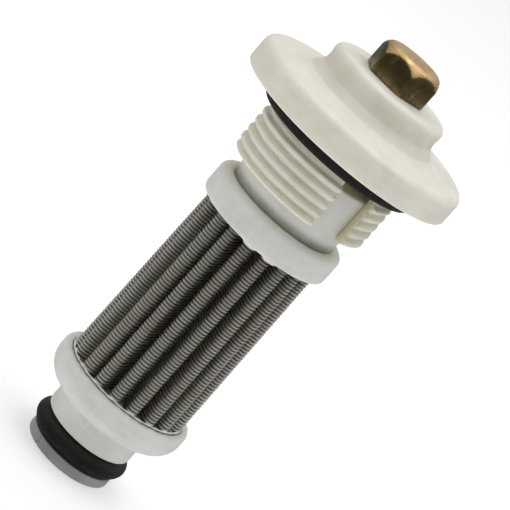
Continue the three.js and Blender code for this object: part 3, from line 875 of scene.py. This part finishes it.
def clothSheet(name, shape, centres, depth, thick):
    # one closed folded sheet: outer face, inner face and two end edges
    low, high = boxMm("outer_mesh")
    path = pleatPath(shape, centres, depth)
    innerPath = pleatPath(shape, centres, depth + thick)
    lengths = pathLengths(path)
    bottomZ, topZ, rows = low.z, high.z, shape["sheetRows"]
    count = len(path)
    points, faces, layout = [], [], []
    rings = []
    for side in (path, innerPath):
        ring = []
        for row in range(rows + 1):
            z = bottomZ + (topZ - bottomZ) * row / rows
            scale = packScale(shape, z)
            ring.append(len(points))
            points += [(spot.x * scale, spot.y * scale, z) for spot, _ in side]
        rings.append(ring)
    outer, inner = rings
    height = (topZ - bottomZ) / rows

    def strip(lower, upper, row, flip):
        for i in range(count):
            j = (i + 1) % count
            face = (lower + i, lower + j, upper + j, upper + i)
            corners = [(lengths[i], row * height), (lengths[i + 1], row * height),
                       (lengths[i + 1], (row + 1) * height), (lengths[i], (row + 1) * height)]
            faces.append(face[::-1] if flip else face)
            layout.extend(corners[::-1] if flip else corners)
    for row in range(rows):
        strip(outer[row], outer[row + 1], row, False)
        strip(inner[row], inner[row + 1], row, True)
    strip(outer[rows], inner[rows], rows, False)
    strip(outer[0], inner[0], 0, True)
    piece = buildObject(name, points, faces, 60)
    setLayout(piece, layout)
    return piece


def pleatedPack(shape):
    centres = pleatCentres(shape)
    low, high = boxMm("outer_mesh")
    wirePath = pleatPath(shape, centres, shape["wire"])
    wireLengths = pathLengths(wirePath)
    count = int((high.z - low.z - 2 * shape["wire"]) / shape["ribPitch"])
    firstRib = low.z + shape["wire"] + 0.05
    heights = [firstRib + shape["ribPitch"] * i for i in range(count)]
    third = (count + 2) // 3
    for i, name in enumerate(("meshRibsLow", "meshRibsMiddle", "meshRibsHigh")):
        piece = ribs(name, shape, wirePath, wireLengths, heights[i * third:(i + 1) * third])
        finishPiece(piece, ribSteel, "cartridge", "wire_mesh", "outer_mesh")
    cloth = clothSheet("filterCloth", shape, centres, shape["clothDepth"], shape["clothThick"])
    finishPiece(cloth, fineCloth, "cartridge", "fine_cloth", "filter_cloth")
    drain = clothSheet("drainMesh", shape, centres, shape["drainDepth"], shape["drainThick"])
    finishPiece(drain, drainSteel, "cartridge", "wire_mesh", "inner_mesh")
    return centres


pleats = pleatedPack(packShape)
print("pleated pack ready")


def fromNearestFold(angle):
    return min(angleApart(angle, fold) for fold, _ in pleats)


upperCapShape = {
    "collarTop": 63.65, "collarRound": 1.3, "recess": 13.0, "recessTop": 62.1,
    "neck": 11.8, "neckBase": 11.3, "neckInner": 10.2, "taperTop": 66.3,
    "bore": 5.8, "boss": 8.8, "bossBottom": 69.4, "crown": 2.0,
    # moulding flash hangs under these folds as small lips
    "lipFolds": (0, 1), "lipHalfAngle": 0.055, "lipDrop": 0.42, "lipBand": 0.5,
}


def upperEndCap(shape):
    low, high = boxMm("upper_end_cap")
    r, top, neck, base = high.x, shape["collarTop"], shape["neck"], shape["neckBase"]
    bore, boss, bossBottom = shape["bore"], shape["boss"], shape["bossBottom"]
    crownBottom = high.z - shape["crown"]
    corners = [
        (shape["neckInner"], shape["recessTop"]), (shape["recess"], shape["recessTop"], 0.3),
        (shape["recess"], low.z, 0.25), (r, low.z, 0.8), (r, top, shape["collarRound"]),
        (base + 0.9, top, 0.25), (base, top - 0.35, 0.1), (neck, shape["taperTop"], 1.5),
        (neck, high.z, 0.5), (bore, high.z, 0.3), (bore, bossBottom, 0.2), (boss, bossBottom, 0.3),
        (boss, crownBottom), (shape["neckInner"], crownBottom)]

    def lips(angle, r, z):
        band = shape["lipBand"]
        if z > low.z + band or r < shape["recess"] - 0.1:
            return r, z
        apart = min(angleApart(angle, pleats[fold][0]) for fold in shape["lipFolds"])
        reach = min(1, max(0, 2.2 - apart / shape["lipHalfAngle"]))
        return r, z - shape["lipDrop"] * reach * (low.z + band - z) / band
    piece = turnedPiece("upperEndCap", corners, 380, lips)
    return finishPiece(piece, elementNylon, "cartridge", "cartridge_nylon", "upper_end_cap")


lowerCapShape = {
    "rimInner": 13.25, "rimRound": 0.93, "rimInnerRound": 0.36, "rimRipple": 0.07, "rippleBand": 0.45,
    "floor": 14.0, "cupBottom": 12.0, "cornerRound": 4.1, "rootRound": 1.0,
    "spigot": 9.49, "shoulder": 6.7, "nose": 6.5, "bore": 5.5,
}


def lowerEndCap(shape):
    low, high = boxMm("lower_end_cap")
    bore, nose, spigot = shape["bore"], shape["nose"], shape["spigot"]
    shoulder, cupBottom, rimInner = shape["shoulder"], shape["cupBottom"], shape["rimInner"]
    corners = [
        (bore, low.z), (nose, low.z), (nose, shoulder, 0.4), (spigot, shoulder, 0.4),
        (spigot, cupBottom, shape["rootRound"]), (high.x, cupBottom, shape["cornerRound"]),
        (high.x, high.z, shape["rimRound"]), (rimInner, high.z, shape["rimInnerRound"]),
        (rimInner, shape["floor"]), (bore, shape["floor"])]

    def ripple(angle, r, z):  # the rim's edge isn't quite even
        if z < high.z - shape["rippleBand"]:
            return r, z
        wave = math.sin(17 * angle) * math.sin(5 * angle) + 0.5 * math.sin(43 * angle)
        return r, z + shape["rimRipple"] * wave
    piece = turnedPiece("lowerEndCap", corners, 380, ripple)
    return finishPiece(piece, elementNylon, "cartridge", "cartridge_nylon", "lower_end_cap")


bushShape = {"bore": 4.4, "flangeTop": 2.3, "tube": 5.2,
             "nickAngle": -168.0, "nickDepth": 0.3, "nickHalf": 0.02}


def outletBush(shape):
    low, high = boxMm("outlet_bush")
    bore, flangeTop, tube = shape["bore"], shape["flangeTop"], shape["tube"]
    corners = [(bore, low.z, 0.5), (high.x, low.z, 0.6), (high.x, flangeTop, 0.25), (tube, flangeTop),
               (tube, high.z, 0.3), (bore, high.z, 0.2)]

    def nick(angle, r, z):  # where the mould's gate was broken off
        apart = angleApart(angle, math.radians(shape["nickAngle"]))
        if r > tube + 1 and z < flangeTop - 0.2:
            r -= shape["nickDepth"] * math.exp(-(apart / shape["nickHalf"]) ** 2)
        return r, z
    piece = turnedPiece("outletBush", corners, 320, nick)
    return finishPiece(piece, greyNylon, "cartridge", "grey_nylon", "outlet_bush")


upperEndCap(upperCapShape)
lowerEndCap(lowerCapShape)
outletBush(bushShape)
print("end caps ready")


pottingShape = {
    "inner": 6.8, "lowerTop": 18.1, "upperBottom": 58.75,
    # the lower resin climbs the folds' feet from this radius on, and creeps up the cup's wall
    "climb": 0.6, "climbHalfAngle": 0.085, "climbFrom": 11.5, "climbOver": 1.5, "creep": 0.3,
    "beadSteps": 900, "beadSides": 8, "beadR": 13.16, "beadWire": 0.2, "beadLift": 0.1,
    "curlHalfAngle": 0.1, "curlIn": 0.22, "curlUp": 0.3,
}


def lowerPotting(shape):
    low, high = boxMm("lower_potting")
    wall, inner, top = high.x, shape["inner"], shape["lowerTop"]

    def wobble(angle, r, z):
        if z < top - 0.5:
            return r, z
        fold = math.exp(-(fromNearestFold(angle) / shape["climbHalfAngle"]) ** 2)
        share = min(1, max(0, (r - shape["climbFrom"]) / shape["climbOver"]))
        uneven = 0.04 * math.sin(7 * angle) + 0.03 * math.sin(31 * angle)
        return r, z + shape["climb"] * fold * share + uneven
    corners = [(inner, low.z), (wall, low.z), (wall, top + shape["creep"]), (wall - 0.15, top + 0.2),
               (wall - 0.4, top + 0.04), (wall - 0.9, top - 0.02), (11.0, top), (9.0, top), (inner, top)]
    piece = turnedPiece("lowerPotting", corners, 380, wobble)
    return finishPiece(piece, pottingResin, "cartridge", "potting_resin", "lower_potting")


def resinBead(shape):
    # resin has crept up to the cup's rim as a thin uneven bead, and curls round the foot of every fold
    rimZ = boxMm("lower_end_cap")[1].z
    count, sides = shape["beadSteps"], shape["beadSides"]
    points, faces = [], []
    for i in range(count):
        angle = 2 * math.pi * i / count
        curl = math.exp(-(fromNearestFold(angle) / shape["curlHalfAngle"]) ** 2)
        ringR = shape["beadR"] - shape["curlIn"] * (1 - curl) + 0.03 * math.sin(23 * angle)
        uneven = 0.05 * math.sin(11 * angle) * math.sin(29 * angle)
        z = rimZ + shape["beadLift"] + shape["curlUp"] * curl + uneven
        wire = shape["beadWire"] * (1 + 0.25 * math.sin(37 * angle))
        for side in range(sides):
            turn = 2 * math.pi * side / sides
            r = ringR + wire * math.cos(turn)
            points.append((r * math.cos(angle), r * math.sin(angle), z + wire * math.sin(turn)))
    for i in range(count):
        here, there = i * sides, ((i + 1) % count) * sides
        for side in range(sides):
            after = (side + 1) % sides
            faces.append((here + side, there + side, there + after, here + after))
    bead = buildObject("resinBead", points, faces, 80)
    return finishPiece(bead, beadResin, "cartridge", "potting_resin", "lower_potting")


def upperPotting(shape):
    low, high = boxMm("upper_potting")
    bottom = shape["upperBottom"]
    corners = [(shape["inner"], high.z), (shape["inner"], bottom), (high.x - 0.7, bottom, 0.4),
               (high.x, bottom - 0.3, 0.1), (high.x, high.z)]
    piece = turnedPiece("upperPotting", corners, 200)
    return finishPiece(piece, pottingResin, "cartridge", "potting_resin", "upper_potting")


lowerPotting(pottingShape)
resinBead(pottingShape)
upperPotting(pottingShape)

# the pieces inside keep their measured shape and only take a finish
hiddenFinishes = {
    "support_core": sheetSteel, "seam_strip": sheetSteel, "stem_retaining_ring": springSteel,
    "thrust_washer": elementNylon, "closing_disc": elementNylon, "vent_thread_insert": brass,
}
for node, finish in hiddenFinishes.items():
    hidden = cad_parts[node]
    hidden.data.materials.clear()
    hidden.data.materials.append(finish)
print("inner parts finished")


studio = {
    "azimuth": -40.0, "elevation": 14.6, "distance": 430.0, "lens": 164.9, "lean": 41.6,  # degrees, mm
    "aimRight": 1.58, "aimUp": 53.6,
    "floorHalf": 3.0, "floorGlow": 0.47, "floorShade": 0.66,
    # each band of the tent: its strength at the start and the end, and where those are
    "sides": (0.5, 0.17, -0.2, 0.85), "overhead": (0.0, 0.83, 0.3, 0.9), "below": (0.5, 1.0, -0.15, 0.35),
}
# metres right of, above and in front of the object's middle, as the camera sees it
softboxes = {
    "softboxAbove": {"right": 0.06, "up": 0.9, "front": -0.1, "size": (1.0, 0.8), "power": 3.6},
    "softboxLeft": {"right": -0.8, "up": 0.35, "front": 0.1, "size": (0.4, 0.8), "power": 0.3},
}


def addCamera(look):
    azimuth, elevation = math.radians(look["azimuth"]), math.radians(look["elevation"])
    level = Vector((math.sin(azimuth), -math.cos(azimuth), 0))
    back = level * math.cos(elevation) + Vector((0, 0, math.sin(elevation)))
    right = Vector((math.cos(azimuth), math.sin(azimuth), 0))
    up = back.cross(right)
    lean = math.radians(look["lean"])
    leanRight = right * math.cos(lean) + up * math.sin(lean)
    leanUp = up * math.cos(lean) - right * math.sin(lean)
    aim = right * look["aimRight"] * mm + Vector((0, 0, look["aimUp"] * mm))
    spot = aim + back * look["distance"] * mm
    camera = bpy.data.objects.new("camera", bpy.data.cameras.new("camera"))
    bpy.context.scene.collection.objects.link(camera)
    rotation = Matrix((leanRight, leanUp, back)).transposed()
    camera.matrix_world = Matrix.Translation(spot) @ rotation.to_4x4()
    camera.data.sensor_width = 36
    camera.data.lens = look["lens"]
    camera.data.clip_start = 0.01
    camera.data.clip_end = 20
    bpy.context.scene.camera = camera
    return back, right


def addFloor(look):
    half = look["floorHalf"]
    mesh = bpy.data.meshes.new("floor")
    corners = [(-half, -half, 0), (half, -half, 0), (half, half, 0), (-half, half, 0)]
    mesh.from_pydata(corners, [], [(0, 1, 2, 3)])
    floor = bpy.data.objects.new("floor", mesh)
    bpy.context.scene.collection.objects.link(floor)
    material, nodes, shader = newMaterial("floorPaper")
    shade = (look["floorShade"],) * 3 + (1,)
    setShader(nodes, shader, {"Base Color": shade, "Roughness": 0.9, "Specular IOR Level": 0.1,
                              "Emission Color": (1, 1, 1, 1), "Emission Strength": look["floorGlow"]})
    material.cycles.emission_sampling = "NONE"
    mesh.materials.append(material)
    floor.visible_glossy = False


def addSoftbox(name, look, middle, front, right):
    lamp = bpy.data.lights.new(name, "AREA")
    lamp.shape = "RECTANGLE"
    lamp.size, lamp.size_y = look["size"]
    lamp.energy = look["power"]
    holder = bpy.data.objects.new(name, lamp)
    bpy.context.scene.collection.objects.link(holder)
    holder.location = middle + right * look["right"] + Vector((0, 0, look["up"])) + front * look["front"]
    holder.rotation_euler = (middle - holder.location).to_track_quat("-Z", "Y").to_euler()


def addTent(look, front):
    # a bright tent over and behind the object, darker on the side that the camera works from
    world = bpy.data.worlds.new("tent")
    bpy.context.scene.world = world
    world.use_nodes = True
    nodes = Nodes(world.node_tree)
    background = world.node_tree.nodes["Background"]
    direction = nodes.add("ShaderNodeTexCoord").outputs["Generated"]
    facing = nodes.add("ShaderNodeVectorMath", {0: direction, 1: front}, operation="DOT_PRODUCT")
    height = nodes.upward(direction)
    sides = nodes.ramp(facing.outputs["Value"], *look["sides"])
    tent = nodes.math("MAXIMUM", sides, nodes.ramp(height, *look["overhead"]))
    glossy = nodes.product(tent, nodes.ramp(height, *look["below"]))
    path = nodes.add("ShaderNodeLightPath")
    strength = nodes.add("ShaderNodeMix", {0: path.outputs["Is Glossy Ray"], 2: tent, 3: glossy}).outputs[0]
    # the camera itself sees plain white
    strength = nodes.add("ShaderNodeMix", {0: path.outputs["Is Camera Ray"], 2: strength, 3: 1.0}).outputs[0]
    connect(nodes.tree, background.inputs["Strength"], strength)
    background.inputs["Color"].default_value = (1, 1, 1, 1)


towardsCamera, toTheRight = addCamera(studio)
addFloor(studio)
addTent(studio, Vector((towardsCamera.x, towardsCamera.y, 0)).normalized())
objectMiddle = Vector((0, 0, 0.06))
for name, look in softboxes.items():
    addSoftbox(name, look, objectMiddle, towardsCamera, toTheRight)

scene = bpy.context.scene
scene.view_settings.view_transform = "Standard"
print("studio ready")
